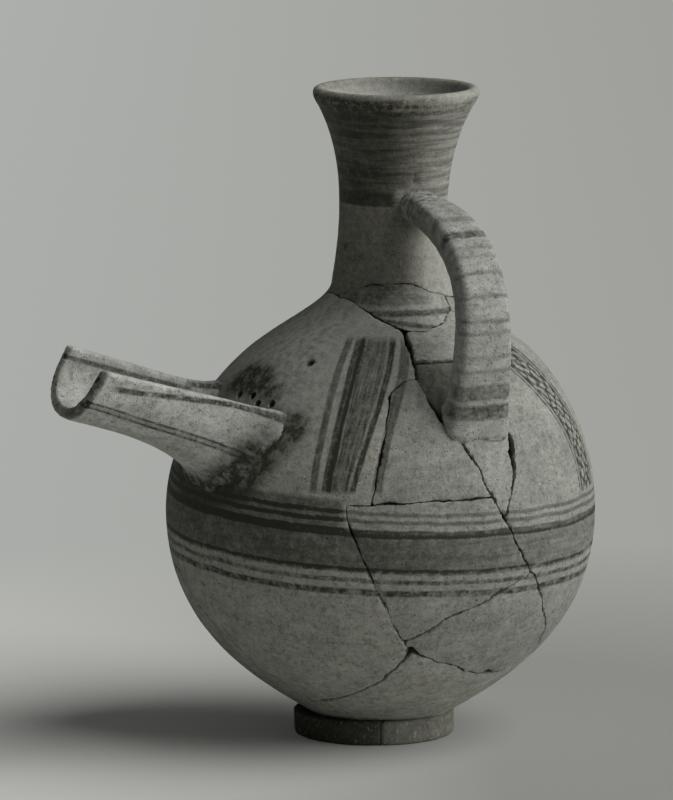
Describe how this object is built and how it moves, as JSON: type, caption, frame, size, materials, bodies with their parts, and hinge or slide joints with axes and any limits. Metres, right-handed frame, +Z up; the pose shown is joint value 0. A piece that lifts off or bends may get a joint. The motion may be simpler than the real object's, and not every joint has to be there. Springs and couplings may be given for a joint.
{
  "type": "strainer jug",
  "caption": "Painted clay jug with a round belly, flared neck, strap handle, disc foot and an open trough spout luted over a pierced strainer, mended from its sherds.",
  "frame": {"origin": "where the belly's axis meets the foot's underside", "axes": "+X along the spout, +Z up through the mouth, the handle near +Y"},
  "size_m": [0.1985, 0.145, 0.2199],
  "materials": {
    "painted_clay": "matt fired clay with worn dark paint",
    "fill_plaster": "matt toned fill"
  },
  "bodies": {
    "root": {"neck": "painted_clay", "collar_sherd": "painted_clay", "spout_wall": "painted_clay", "handle_wall": "painted_clay", "front_shoulder_sherd": "painted_clay", "front_belly_sherd": "painted_clay", "belly_corner_sherd": "painted_clay", "handle_root_sherd": "painted_clay", "shoulder_fill": "fill_plaster", "base_bowl": "painted_clay", "foot_main_half": "painted_clay", "foot_small_half": "painted_clay", "trough_spout": "painted_clay", "strap_handle": "painted_clay"}
  },
  "joints": []
}
